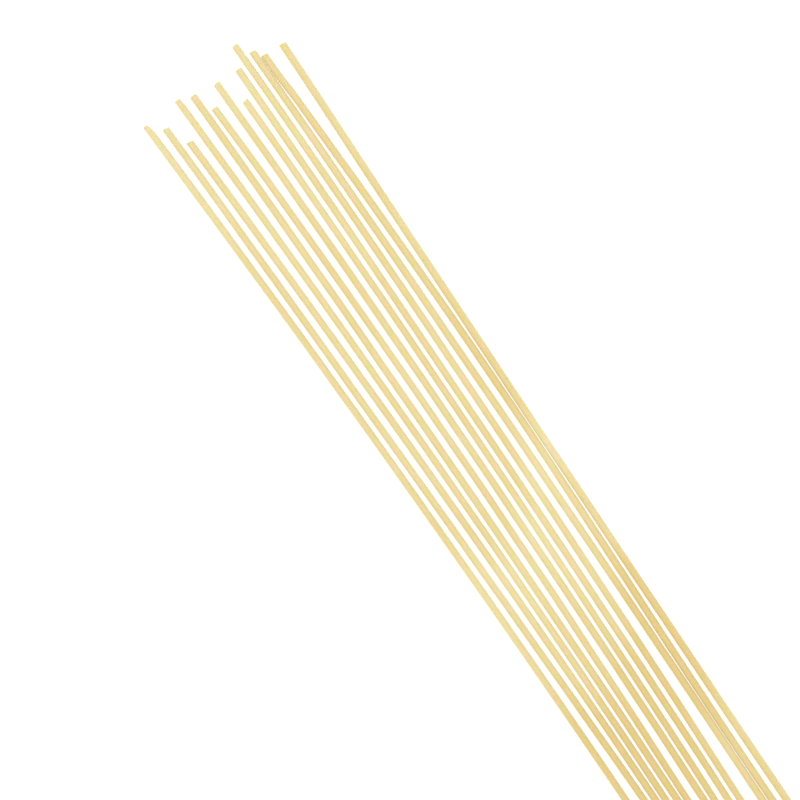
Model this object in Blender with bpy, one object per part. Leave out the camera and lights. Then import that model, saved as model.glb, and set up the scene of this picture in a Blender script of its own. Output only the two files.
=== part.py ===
"""A bundle of dry spaghetti: thirteen loose strands side by side in one flat layer.

+X runs along the strands, +Y across the layer and +Z up. Every strand lies on z = 0, and the
origin is the middle of the layer's underside. Lengths are in metres, except in the table of
strands, which is in millimetres.
"""
import math
from collections import namedtuple

import bmesh
import bpy
from mathutils import Matrix, Vector

MM = 0.001

# The layer
REACH = 0.257            # length that the lay of the strands is measured over
OVERRUN = 0.015          # how far the uncut tubes run past both ends of REACH
CLEARANCE = 0.00025      # least gap between two neighbours
SETTLE = 0.0001          # how gently a strand turns to lie along its neighbour

# The tube that stands for one strand
SIDES = 16
STATIONS = 17

# Colours of the dry dough, linear
PALE_DOUGH = (0.84, 0.68, 0.33)
DEEP_DOUGH = (0.80, 0.61, 0.25)

# Each strand, from one side of the layer to the other. start: how far the first cut stands
# back; near, far: place across the layer at the two ends of REACH; bow: how far the middle
# stands off the straight line between them; first, last: lean of the two cuts in degrees, more
# than 0 where the strand is longer on its +Y side; tone: 0 for pale dough to 1 for deep.
Strand = namedtuple("Strand", "start length near far bow diameter first last tone")
STRANDS = (
    Strand(-0.5, 257.0, -0.1, -1.1, 1.7, 1.80, 0, 9, 0.0),
    Strand(3.0, 256.5, 3.6, 3.6, 0.5, 1.80, -10, -5, 0.0),
    Strand(9.3, 257.5, 6.5, 5.3, 1.5, 1.80, -13, 3, 0.0),
    Strand(-1.2, 257.0, 10.3, 7.1, 1.6, 1.75, 1, -14, 0.0),
    Strand(0.2, 256.0, 14.2, 9.6, 1.1, 1.85, 1, 2, 0.2),
    Strand(5.9, 257.5, 16.8, 10.8, 2.4, 1.75, -1, 0, 0.1),
    Strand(1.1, 257.0, 20.9, 14.9, 1.4, 1.80, 10, 11, 0.1),
    Strand(8.9, 256.0, 24.4, 17.0, 1.4, 1.70, 8, -3, 0.0),
    Strand(1.4, 257.5, 27.5, 20.2, 0.9, 1.80, -2, 16, 0.1),
    Strand(-4.1, 256.5, 30.3, 22.5, 1.4, 1.80, 6, -8, 0.0),
    Strand(-0.2, 257.0, 33.1, 27.7, 0.7, 1.85, -9, 0, 0.1),
    Strand(2.2, 256.0, 34.9, 26.9, 3.3, 1.85, -5, 6, 1.0),
    Strand(2.6, 257.0, 40.6, 33.1, -0.5, 1.90, -10, -2, 0.3),
)

# Snapped corners: strand number, end (-1 first, 1 last), side across the layer (-1 or 1),
# then how much of the cut face is gone and how far the break runs along the strand.
Chip = namedtuple("Chip", "strand end side depth run")
CHIPS = (
    Chip(1, -1, 1, 0.00075, 0.0010),
    Chip(1, -1, 1, 0.00035, 0.0024),
    Chip(4, -1, 1, 0.00030, 0.0026),
    Chip(6, 1, -1, 0.0007, 0.0021),
    Chip(11, 1, 1, 0.0004, 0.0028),
)


def empty_scene():
    """Remove whatever the scene holds."""
    for item in list(bpy.data.objects):
        bpy.data.objects.remove(item, do_unlink=True)


def station(index):
    """Place along the layer of one ring of every tube."""
    return -OVERRUN + (REACH + 2 * OVERRUN) * index / (STATIONS - 1)


def free_lay(strand, x):
    """Where a strand would lie by itself: a straight line plus a parabola."""
    u = x / REACH
    line = strand.near * (1 - u) + strand.far * u
    return (line + 4 * strand.bow * u * (1 - u)) * MM


def settled(own, limit):
    """The larger of two positions, blended smoothly where they are nearly equal."""
    return (own + limit + math.hypot(own - limit, SETTLE)) / 2


def lay_strands():
    """The centre line of every strand, each kept clear of the one before it."""
    lines = []
    for number, strand in enumerate(STRANDS):
        places = [free_lay(strand, station(i)) for i in range(STATIONS)]
        if number:
            both_radii = (strand.diameter + STRANDS[number - 1].diameter) / 2 * MM
            reach = both_radii + CLEARANCE
            places = [settled(y, before + reach) for y, before in zip(places, lines[-1])]
        lines.append(places)
    return lines


def ring(bm, centre, heading, radius):
    """One ring of vertices square to the heading, with a flat side lying on the ground."""
    across = Vector((-heading.y, heading.x, 0)).normalized()
    up = Vector((0, 0, 1))
    verts = []
    for k in range(SIDES):
        angle = 2 * math.pi * (k + 0.5) / SIDES
        verts.append(bm.verts.new(centre + radius * (math.cos(angle) * across + math.sin(angle) * up)))
    return verts


def tube(places, radius):
    """A closed round tube along one centre line, lying on z = 0."""
    bm = bmesh.new()
    height = radius * math.cos(math.pi / SIDES)
    centres = [Vector((station(i), y, height)) for i, y in enumerate(places)]
    rings = []
    for i, centre in enumerate(centres):
        heading = centres[min(i + 1, STATIONS - 1)] - centres[max(i - 1, 0)]
        rings.append(ring(bm, centre, heading, radius))
    for one, other in zip(rings, rings[1:]):
        for k in range(SIDES):
            bm.faces.new((one[k - 1], one[k], other[k], other[k - 1]))
    bm.faces.new(rings[0])
    bm.faces.new(reversed(rings[-1]))
    bmesh.ops.recalc_face_normals(bm, faces=bm.faces)
    return bm


def cut_off(bm, point, outward):
    """Cut away what lies beyond a plane and close the cut with one flat face."""
    everything = bm.verts[:] + bm.edges[:] + bm.faces[:]
    cut = bmesh.ops.bisect_plane(bm, geom=everything, plane_co=point, plane_no=outward, clear_outer=True)
    rim = [part for part in cut["geom_cut"] if isinstance(part, bmesh.types.BMEdge)]
    bmesh.ops.contextual_create(bm, geom=rim)


def place_at(places, x):
    """Place across the layer of a centre line at any x, straight between two stations."""
    steps = (x + OVERRUN) / (REACH + 2 * OVERRUN) * (STATIONS - 1)
    index = int(steps)
    rest = steps - index
    return places[index] * (1 - rest) + places[index + 1] * rest


def trim_ends(bm, number, strand, places):
    """Cut a tube to its strand's length, with leaning cuts and snapped corners."""
    radius = strand.diameter / 2 * MM
    ends = {-1: strand.start * MM, 1: (strand.start + strand.length) * MM}
    leans = {-1: strand.first, 1: strand.last}
    for end, x in ends.items():
        lean = math.radians(leans[end])
        tip = Vector((x, place_at(places, x), 0))
        cut_off(bm, tip, Vector((end * math.cos(lean), -math.sin(lean), 0)))
    for chip in CHIPS:
        if chip.strand == number:
            x = ends[chip.end]
            corner = Vector((x, place_at(places, x) + chip.side * (radius - chip.depth), 0))
            cut_off(bm, corner, Vector((chip.end * chip.depth, chip.side * chip.run, 0)))


def dry_dough(name, tone):
    """Dry durum dough, between its pale and its deep colour."""
    colour = [pale + tone * (deep - pale) for pale, deep in zip(PALE_DOUGH, DEEP_DOUGH)]
    material = bpy.data.materials.new(name)
    material.use_nodes = True
    shader = material.node_tree.nodes["Principled BSDF"]
    shader.inputs["Base Color"].default_value = (*colour, 1)
    shader.inputs["Roughness"].default_value = 0.5
    shader.inputs["Metallic"].default_value = 0
    return material


def add_strand(number, strand, places):
    """One strand as an object of its own, smooth round its side and sharp at its cuts."""
    bm = tube(places, strand.diameter / 2 * MM)
    trim_ends(bm, number, strand, places)
    name = f"strand_{number:02d}"
    mesh = bpy.data.meshes.new(name)
    bm.to_mesh(mesh)
    bm.free()
    mesh.shade_smooth()
    mesh.set_sharp_from_angle(angle=math.radians(35))
    mesh.materials.append(dry_dough(f"dough_{number:02d}", strand.tone))
    item = bpy.data.objects.new(name, mesh)
    bpy.context.scene.collection.objects.link(item)
    return item


def centre_on_origin(items):
    """Move the layer so that the middle of its underside is the origin."""
    points = [vert.co for item in items for vert in item.data.vertices]
    middle_x = (min(p.x for p in points) + max(p.x for p in points)) / 2
    middle_y = (min(p.y for p in points) + max(p.y for p in points)) / 2
    for item in items:
        item.data.transform(Matrix.Translation((-middle_x, -middle_y, 0)))


empty_scene()
LINES = lay_strands()
BUNDLE = [add_strand(i + 1, strand, LINES[i]) for i, strand in enumerate(STRANDS)]
centre_on_origin(BUNDLE)
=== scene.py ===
"""Looks of a loose bundle of dry spaghetti: strands side by side in one flat layer.

+X runs along the strands, +Y across the layer, +Z up, and the strands lie on z = 0. Lengths are
in metres. Every strand's lay, thickness and cuts are read from its solid in the frame.
"""
import math

import bpy
import numpy as np
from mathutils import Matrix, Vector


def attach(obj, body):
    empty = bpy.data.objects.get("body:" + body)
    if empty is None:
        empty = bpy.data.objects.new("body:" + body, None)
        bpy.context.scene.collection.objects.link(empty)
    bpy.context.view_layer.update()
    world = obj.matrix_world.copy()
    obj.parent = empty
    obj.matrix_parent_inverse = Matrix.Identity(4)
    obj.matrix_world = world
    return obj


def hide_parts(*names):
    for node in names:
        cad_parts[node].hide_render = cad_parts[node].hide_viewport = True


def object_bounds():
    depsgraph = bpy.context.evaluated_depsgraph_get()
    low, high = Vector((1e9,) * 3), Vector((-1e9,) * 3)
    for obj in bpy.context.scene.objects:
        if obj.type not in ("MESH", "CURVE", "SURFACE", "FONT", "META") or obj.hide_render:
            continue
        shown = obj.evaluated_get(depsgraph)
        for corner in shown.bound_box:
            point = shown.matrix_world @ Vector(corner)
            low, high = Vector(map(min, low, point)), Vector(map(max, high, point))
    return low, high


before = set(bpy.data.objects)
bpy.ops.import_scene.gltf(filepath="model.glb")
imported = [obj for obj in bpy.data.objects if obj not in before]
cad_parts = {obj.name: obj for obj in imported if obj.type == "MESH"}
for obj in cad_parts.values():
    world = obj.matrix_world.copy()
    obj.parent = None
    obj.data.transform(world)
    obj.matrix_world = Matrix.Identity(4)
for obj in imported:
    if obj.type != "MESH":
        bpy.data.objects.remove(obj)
solid_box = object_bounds()
LOW, HIGH = np.array(solid_box[0]), np.array(solid_box[1])
MM = 0.001


# ---- View ---------------------------------------------------------------------------------
# A camera with a long lens looks straight down on the layer, level with a point about a third
# of the way along it, and turned so that the strands run away from the upper left.
VIEW_MIDDLE = (LOW[0] + 0.09824, LOW[1] + 0.01421)
VIEW_WIDTH = 0.2042
VIEW_TURN = 54.6
LENS = 100
SENSOR = 36

camera = bpy.data.objects.new("camera", bpy.data.cameras.new("camera"))
camera.data.lens = LENS
camera.data.sensor_width = SENSOR
camera.data.clip_start = 0.01
camera.location = (*VIEW_MIDDLE, HIGH[2] / 2 + VIEW_WIDTH * LENS / SENSOR)
camera.rotation_euler = (0, 0, math.radians(VIEW_TURN))
bpy.context.scene.collection.objects.link(camera)
bpy.context.scene.camera = camera
bpy.context.scene.view_settings.view_transform = "Standard"


# ---- Dough --------------------------------------------------------------------------------
# The strands are durum semolina and water, pressed through a round die and dried hard. The
# dough is a pale translucent yellow, mottled where the semolina grains lie thicker or thinner,
# with faint lines from the die along it, starch specks in it and a chalky look where it is cut.
PALE = "#f6e4ba"
DEEP = "#eed398"
WARM = "#fff9ff"
GREEN = "#f4fff2"
CREAM = "#ffffff"
YOLK = "#fcffdf"
CHALK = "#f3e6bd"
STARCH = "#fbf2d8"
BRAN = "#b98a4e"


def linear(code):
    """A colour written as sRGB hex, in linear light with an alpha of 1."""
    parts = [int(code[i:i + 2], 16) / 255 for i in (1, 3, 5)]
    return (*[p / 12.92 if p <= 0.04045 else ((p + 0.055) / 1.055) ** 2.4 for p in parts], 1)


def add(tree, kind, inputs=None, **settings):
    """One more node. Settings are its properties; inputs are values or links for its sockets."""
    made = tree.nodes.new(kind)
    for name, value in settings.items():
        setattr(made, name, value)
    for key, value in (inputs or {}).items():
        if isinstance(value, bpy.types.NodeSocket):
            tree.links.new(value, made.inputs[key])
        else:
            made.inputs[key].default_value = value
    return made


def pattern(tree, place, along, across, detail):
    """Noise whose spots are so many millimetres long along the strands and wide across them."""
    scale = (1 / (along * MM), 1 / (across * MM), 1 / (across * MM))
    mapped = add(tree, "ShaderNodeMapping", {"Vector": place, "Scale": scale})
    noise = add(tree, "ShaderNodeTexNoise",
                {"Vector": mapped.outputs["Vector"], "Scale": 1.0, "Detail": detail})
    return noise.outputs["Fac"]


def between(tree, value, low, high, to_low=0.0, to_high=1.0):
    """A value's smooth rise from one limit to another, held to two results."""
    made = add(tree, "ShaderNodeMapRange",
               {"Value": value, "From Min": low, "From Max": high, "To Min": to_low, "To Max": to_high},
               interpolation_type="SMOOTHSTEP")
    return made.outputs["Result"]


def blend(tree, share, first, second):
    """A colour between two, by a share from 0 to 1."""
    made = add(tree, "ShaderNodeMix", {0: share, 6: first, 7: second}, data_type="RGBA")
    return made.outputs[2]


def tint(tree, value, low, high, colour, first, second):
    """A colour times a tint between two, by a value's rise from one limit to another."""
    shade = blend(tree, between(tree, value, low, high), first, second)
    made = add(tree, "ShaderNodeMix", {0: 1.0, 6: colour, 7: shade}, data_type="RGBA", blend_type="MULTIPLY")
    return made.outputs[2]


def times(tree, one, other):
    """Two values multiplied."""
    return add(tree, "ShaderNodeMath", {0: one, 1: other}, operation="MULTIPLY").outputs[0]


def total(tree, one, other):
    """Two values added."""
    return add(tree, "ShaderNodeMath", {0: one, 1: other}, operation="ADD").outputs[0]


def dry_dough():
    """Dried durum dough: half matt, IOR about 1.5, light going about half a millimetre in."""
    material = bpy.data.materials.new("dry_dough")
    material.use_nodes = True
    tree = material.node_tree
    shader = tree.nodes["Principled BSDF"]
    place = add(tree, "ShaderNodeTexCoord").outputs["Object"]
    depth = add(tree, "ShaderNodeAttribute", attribute_name="depth").outputs["Fac"]
    cut = add(tree, "ShaderNodeAttribute", attribute_name="cut").outputs["Fac"]

    # The tone of each strand, drifting over a few centimetres; its depth also holds painted light and
    # painted shade.
    drift = between(tree, pattern(tree, place, 30, 6, 1), 0.3, 0.7, -0.15, 0.15)
    colour = blend(tree, total(tree, depth, drift), linear(PALE), linear(DEEP))

    # Mottling: spots a millimetre or two long, creamier or yellower, and warmer or greener.
    cloud = pattern(tree, place, 1.2, 1.0, 1)
    colour = tint(tree, cloud, 0.2, 0.8, colour, linear(YOLK), linear(CREAM))
    mottle = pattern(tree, place, 1.4, 1.1, 1.5)
    colour = tint(tree, mottle, 0.2, 0.8, colour, linear(GREEN), linear(WARM))

    # Starch specks a fifth of a millimetre across, and rarer flecks of bran.
    starch = pattern(tree, place, 0.30, 0.22, 2)
    colour = blend(tree, between(tree, starch, 0.66, 0.76, 0, 0.35), colour, linear(STARCH))
    bran = pattern(tree, place, 0.55, 0.30, 1)
    colour = blend(tree, between(tree, bran, 0.80, 0.86, 0, 0.4), colour, linear(BRAN))

    # Cut faces are chalky, grain by grain.
    grain = pattern(tree, place, 0.14, 0.10, 2)
    chalky = times(tree, cut, between(tree, grain, 0.35, 0.65, 0.5, 0.9))
    colour = blend(tree, chalky, colour, linear(CHALK))
    tree.links.new(colour, shader.inputs["Base Color"])

    # Lines from the die, a tenth of a millimetre apart, and grain.
    lines = pattern(tree, place, 14, 0.12, 1)
    bump = add(tree, "ShaderNodeBump",
               {"Height": total(tree, lines, grain), "Strength": 0.35, "Distance": 0.02 * MM})
    tree.links.new(bump.outputs["Normal"], shader.inputs["Normal"])
    tree.links.new(between(tree, grain, 0.3, 0.7, 0.42, 0.58), shader.inputs["Roughness"])

    shader.inputs["IOR"].default_value = 1.5
    shader.inputs["Specular IOR Level"].default_value = 0.4
    shader.inputs["Sheen Weight"].default_value = 0.35
    shader.inputs["Sheen Roughness"].default_value = 0.5
    shader.inputs["Subsurface Weight"].default_value = 0.5
    shader.inputs["Subsurface Radius"].default_value = (1.0, 0.75, 0.35)
    shader.inputs["Subsurface Scale"].default_value = 0.5 * MM
    return material


# ---- Strands ------------------------------------------------------------------------------
# Each strand is one long rod of dough that dried on a rail, so it is gently bowed, a little
# uneven in thickness and faintly oval. Its ends were sawn or snapped: some cuts lean, some
# corners have broken away, and all the cut faces are grainy with a softened rim.
SIDES = 32
STEP = 1.25 * MM         # between two rings along the strand
FADE = 8 * MM            # length over which the rings turn from the lean of a cut to square
FRAME_SIDES = 16         # flats round a strand's solid in the frame
BANDS = 7                # lengths the skin is cut into for its texture map
DEPTHS = (0.34, 0.32, 0.36, 0.34, 0.38, 0.35, 0.37, 0.32, 0.33, 0.29, 0.36, 0.56, 0.43)

# Each strand is paler at its two ends and deepest on the way to the far one; the paler first
# end is painted light and the deep band is painted shade. Places along a strand, and what is
# added to its depth of tone there. The pace is how far along each strand the tones come, as a
# share of those places.
SHADE_AND_TONE_STOPS = np.array([0, 20, 45, 128, 142, 158, 175, 192, 206, 240]) * MM
SHADE_AND_TONE_SHIFTS = (-0.22, -0.12, 0.0, 0.12, -0.34, -0.1, 0.05, 0.85, 0.85, 0.2)
PACES = (1.00, 0.98, 0.96, 1.03, 1.02, 1.00, 0.99, 0.94, 0.97, 0.96, 0.91, 0.90, 0.86)

# From the middle of a cut face outward: share of the radius, and distance behind the face.
CAP_SHARE = np.array([0.15, 0.3, 0.44, 0.57, 0.68, 0.78, 0.86, 0.92, 0.96, 0.985, 1.0])
CAP_BACK = np.array([0, 0, 0, 0, 0, 0, 0, 0.006, 0.022, 0.055, 0.12]) * MM
CLOSE_UP = np.array([0.2, 0.32, 0.5, 0.8, 1.2, 1.7, 2.4, 3.3, 4.3, 5.4, 6.6, 7.8]) * MM


def points_of(mesh):
    """A mesh's vertices as rows of x, y, z."""
    flat = np.empty(3 * len(mesh.vertices), np.float32)
    mesh.vertices.foreach_get("co", flat)
    return flat.reshape(-1, 3).astype(float)


def centre_line(points):
    """Place across the layer for any x: a smooth curve through the underside's narrow flat."""
    ground = points[points[:, 2] < 0.01 * MM]
    return np.polynomial.Polynomial.fit(ground[:, 0], ground[:, 1], 6)


def cut_planes(mesh, end):
    """The planes of a strand's cut faces at one end: unit normals and distances, in rows."""
    normals = np.array([face.normal for face in mesh.polygons])
    middles = np.array([face.center for face in mesh.polygons])
    steep = end * normals[:, 0] > 0.1
    normals, middles = normals[steep], middles[steep]
    kinds, kind = np.unique(np.round(normals, 2), axis=0, return_inverse=True)
    planes = [normals[kind.ravel() == number].mean(0) for number in range(len(kinds))]
    spots = [middles[kind.ravel() == number].mean(0) for number in range(len(kinds))]
    return np.array(planes), np.sum(np.array(planes) * np.array(spots), axis=1)


def cut_at(planes, end, y, z):
    """Where along x a strand ends at y, z: the cut plane that leaves the least of it."""
    normals, distances = planes
    reach = [(d - n[1] * y - n[2] * z) / n[0] for n, d in zip(normals, distances)]
    return end * np.min(end * np.array(reach), axis=0)


def creases(planes, middle):
    """How far aside of a strand's middle its upright cut planes meet, each with the next."""
    normals, distances = planes
    order = np.argsort(normals[:, 1] / normals[:, 0])
    meets = [np.linalg.solve(normals[[a, b], :2], distances[[a, b]]) for a, b in zip(order, order[1:])]
    return [y - middle for x, y in meets]


def turned_sides(reach, held, folds):
    """Angle of every point round its ring, with the nearest two points turned onto each crease.

    A crease that lies c aside of the middle crosses a ring of radius R at plus and minus the
    angle whose cosine is c / R. The turn fades with the held share, away from the end.
    """
    step = 2 * np.pi / SIDES
    around = np.tile(step * np.arange(SIDES), (len(reach), 1))
    for fold in folds:
        rows = np.flatnonzero((np.abs(fold) < reach) & (held > 0))
        goal = np.arccos(fold / reach[rows])
        side = np.round(goal / step).astype(int)
        turn = (goal - side * step) * held[rows]
        around[rows, side] += turn
        around[rows, -side] -= turn
    return around


def waves(x, rng, count, longest, shortest):
    """A smooth random curve between about -1 and 1: a few sines with random lengths."""
    lengths = np.exp(rng.uniform(np.log(shortest), np.log(longest), count))
    starts = rng.uniform(0, 2 * np.pi, count)
    return sum(np.sin(2 * np.pi * x / l + s) for l, s in zip(lengths, starts)) / count


def grain_of(y, z, rng):
    """Grain of a cut face: a sum of ripples 0.3 to 0.8 mm long in random directions."""
    total = np.zeros(np.shape(y))
    for _ in range(9):
        turn, start = rng.uniform(0, 2 * np.pi, 2)
        length = rng.uniform(0.3, 0.8) * MM
        total += np.sin(2 * np.pi * (y * np.cos(turn) + z * np.sin(turn)) / length + start)
    return total / 3


def strand_rings(mesh, rng):
    """All rings of one strand, as an array of rings by sides by x, y, z.

    Ring i stands at x_i with radius r_i times its share: x_i, y(x_i) + r cos a, h + r sin a. The
    radius swells by a percent along the strand and is a percent oval, and nothing goes below
    the ground. Near a cut the rings lean over until the last one lies in the cut face, and the
    face's own rings shrink towards its middle. Where a cut has a crease, points lie along it.
    """
    points = points_of(mesh)
    height = points[:, 2].max() / 2
    radius = height / math.cos(math.pi / FRAME_SIDES)
    line = centre_line(points)
    planes = {end: cut_planes(mesh, end) for end in (-1, 1)}
    tips = {-1: points[:, 0].min(), 1: points[:, 0].max()}

    near = np.concatenate([CAP_BACK, CLOSE_UP])
    plain = np.arange(tips[-1] + FADE + STEP / 2, tips[1] - FADE, STEP)
    x = np.concatenate([tips[-1] + near, plain, tips[1] - near[::-1]])
    share = np.ones(len(x))
    share[:len(CAP_SHARE)] = CAP_SHARE
    share[-len(CAP_SHARE):] = CAP_SHARE[::-1]

    swell = 0.010 * waves(x, rng, 4, 90 * MM, 18 * MM)
    turn = 0.8 * waves(x, rng, 2, 200 * MM, 90 * MM) + rng.uniform(0, np.pi)
    held = {end: np.clip(1 - np.abs(x - tips[end]) / FADE, 0, 1) for end in (-1, 1)}
    reach = radius * share * (1 + swell)
    angle = np.zeros((len(x), SIDES))
    for end in (-1, 1):
        half = end * (2 * x - tips[-1] - tips[1]) > 0
        folds = creases(planes[end], line(tips[end]))
        angle[half] = turned_sides(reach[half], held[end][half], folds)
    oval = 0.010 * np.cos(2 * (angle - turn[:, None]))
    r = radius * share[:, None] * (1 + swell[:, None] + oval)
    wander = 0.035 * MM * waves(x, rng, 3, 70 * MM, 25 * MM)
    aside, above = r * np.cos(angle), r * np.sin(angle)

    rings = np.empty((len(x), SIDES, 3))
    rings[:, :, 0] = x[:, None]
    for end in (-1, 1):
        y = line(tips[end]) + aside
        lean = cut_at(planes[end], end, y, height + above) - tips[end]
        lean -= end * 0.028 * MM * (1 + grain_of(aside, above, rng))
        rings[:, :, 0] += lean * held[end][:, None]
    rings[:, :, 1] = (line(x) + wander)[:, None] + aside
    rings[:, :, 2] = np.maximum(height + above, 0)
    return rings


def rest_tip(rings, other):
    """Move the first centimetre of a strand over, to leave its tip a hair off the one beside it.

    The gap between the two, less 0.11 mm, is taken off y: all of it for the first 5 mm, then
    less and less of it up to 14 mm.
    """
    x = rings[:, :, 0].mean(1)
    gap = rings[:, :, 1].min(1) - np.interp(x, other[:, :, 0].mean(1), other[:, :, 1].max(1))
    gap[:len(CAP_SHARE)] = gap[len(CAP_SHARE)]
    held = np.clip((x[0] + 14 * MM - x) / (9 * MM), 0, 1)
    rings[:, :, 1] -= ((gap - 0.11 * MM) * held ** 2 * (3 - 2 * held))[:, None]


def skin_faces(count):
    """Four-sided faces between rings, then a fan over each end, all facing outward."""
    row, side = np.meshgrid(np.arange(count - 1), np.arange(SIDES), indexing="ij")
    first = row * SIDES + side
    second = row * SIDES + (side + 1) % SIDES
    quads = np.stack([first, second, second + SIDES, first + SIDES], -1).reshape(-1, 4)
    around = np.arange(SIDES)
    after = (around + 1) % SIDES
    last = (count - 1) * SIDES
    near_fan = np.stack([np.full(SIDES, count * SIDES), after, around], -1)
    far_fan = np.stack([np.full(SIDES, count * SIDES + 1), last + around, last + after], -1)
    return quads.tolist() + near_fan.tolist() + far_fan.tolist()


def bake_map(mesh, rings, poles):
    """A map for baked textures: the skin in seven lengths, laid side by side in a square.

    A face's place along its length is the skin's run from the near middle to the far one, and
    its place across is its turn round the strand.
    """
    whole = np.concatenate([np.broadcast_to(poles[0], rings[:1].shape), rings,
                            np.broadcast_to(poles[1], rings[:1].shape)])
    runs = np.linalg.norm(np.diff(whole, axis=0), axis=2).mean(1)
    start = np.concatenate([[0], np.cumsum(runs)])
    band = np.minimum(start[:-1] / start[-1] * BANDS, BANDS - 1).astype(int)
    low = np.array([start[:-1][band == b].min() for b in range(BANDS)])[band]
    high = np.array([start[1:][band == b].max() for b in range(BANDS)])[band]
    u = 0.005 + 0.99 * (np.stack([start[:-1], start[1:]]) - low) / (high - low)
    turn = np.arange(SIDES + 1) / SIDES
    v = (band[:, None] + 0.96 - 0.92 * turn) / BANDS

    def corners(rows, picks):
        """Corner places of the faces in some rows: which end of the row, how far round."""
        sides = np.arange(SIDES)
        spots = [np.stack(np.broadcast_arrays(u[end, rows, None], (1 - far) * v[rows][:, sides]
                 + far * v[rows][:, sides + 1]), -1) for end, far in picks]
        return np.stack(spots, 2).reshape(-1, 2)

    count = len(runs)
    body = corners(np.arange(1, count - 1), ((0, 0), (0, 1), (1, 1), (1, 0)))
    near = corners(np.array([0]), ((0, 0.5), (1, 1), (1, 0)))
    far = corners(np.array([count - 1]), ((1, 0.5), (0, 0), (0, 1)))
    layer = mesh.uv_layers.new(name="OFBake")
    layer.uv.foreach_set("vector", np.concatenate([body, near, far]).astype(np.float32).ravel())


def strand_piece(name, rings, material, depth, pace):
    """One strand as a closed mesh, with the shares of cut face and of deep dough, painted light and painted
    shade on its points.
    """
    count = len(rings)
    poles = [rings[0].mean(0), rings[-1].mean(0)]
    verts = np.concatenate([rings.reshape(-1, 3), poles])
    mesh = bpy.data.meshes.new(name + "_rod")
    mesh.from_pydata(verts.tolist(), [], skin_faces(count))
    bake_map(mesh, rings, poles)
    mesh.shade_smooth()
    mesh.materials.append(material)

    cut = np.zeros(count)
    cut[:len(CAP_SHARE)] = 1 - CAP_SHARE ** 4
    cut += cut[::-1]
    cut = np.concatenate([np.repeat(cut, SIDES), [1, 1]])
    # Tone along the strand: painted light at the first end, painted shade in the deep band towards the far
    # end.
    tone_and_shade = depth + np.interp((verts[:, 0] - verts[:, 0].min()) / pace, SHADE_AND_TONE_STOPS, SHADE_AND_TONE_SHIFTS)
    for label, values in (("cut", cut), ("depth", tone_and_shade)):
        mesh.attributes.new(label, "FLOAT", "POINT").data.foreach_set("value", values.astype(np.float32))
    piece = bpy.data.objects.new(name + "_rod", mesh)
    bpy.context.scene.collection.objects.link(piece)
    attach(piece, "root")
    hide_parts(name)


names = sorted(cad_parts)
lay = [strand_rings(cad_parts[name].data, np.random.default_rng(100 + number))
       for number, name in enumerate(names)]
rest_tip(lay[11], lay[10])
dough = dry_dough()
for name, rings, depth, pace in zip(names, lay, DEPTHS, PACES):
    strand_piece(name, rings, dough, depth, pace)


# ---- Floor and light ----------------------------------------------------------------------
# The strands lie on a sheet of white acrylic lit from below, as things shown on pure white do.
# The room is white all round, and one large soft lamp hangs over the first ends.
def floor_sheet():
    """White acrylic: nearly all of its light comes up through it."""
    material = bpy.data.materials.new("white_acrylic")
    material.use_nodes = True
    shader = material.node_tree.nodes["Principled BSDF"]
    shader.inputs["Base Color"].default_value = linear("#6c6c6c")
    shader.inputs["Roughness"].default_value = 0.9
    shader.inputs["Specular IOR Level"].default_value = 0.0
    shader.inputs["Emission Color"].default_value = linear("#fffefa")
    shader.inputs["Emission Strength"].default_value = 0.90
    mesh = bpy.data.meshes.new("floor")
    size = 6
    corners = [(-size, -size, 0), (size, -size, 0), (size, size, 0), (-size, size, 0)]
    mesh.from_pydata(corners, [], [(0, 1, 2, 3)])
    mesh.materials.append(material)
    floor = bpy.data.objects.new("floor", mesh)
    floor.location.z = -0.02 * MM
    bpy.context.scene.collection.objects.link(floor)


def soft_lamp():
    """A square soft box that hangs over the first ends of the strands and faces down."""
    lamp = bpy.data.lights.new("soft_box", "AREA")
    lamp.shape = "SQUARE"
    lamp.size = 0.5
    lamp.energy = 1.1
    holder = bpy.data.objects.new("soft_box", lamp)
    holder.location = (LOW[0] + 0.05, 0.08, 0.7)
    bpy.context.scene.collection.objects.link(holder)


def white_room():
    """Even white light from all round."""
    world = bpy.data.worlds.new("white_room")
    world.use_nodes = True
    world.node_tree.nodes["Background"].inputs["Color"].default_value = linear("#ffffff")
    world.node_tree.nodes["Background"].inputs["Strength"].default_value = 0.83
    bpy.context.scene.world = world


floor_sheet()
soft_lamp()
white_room()
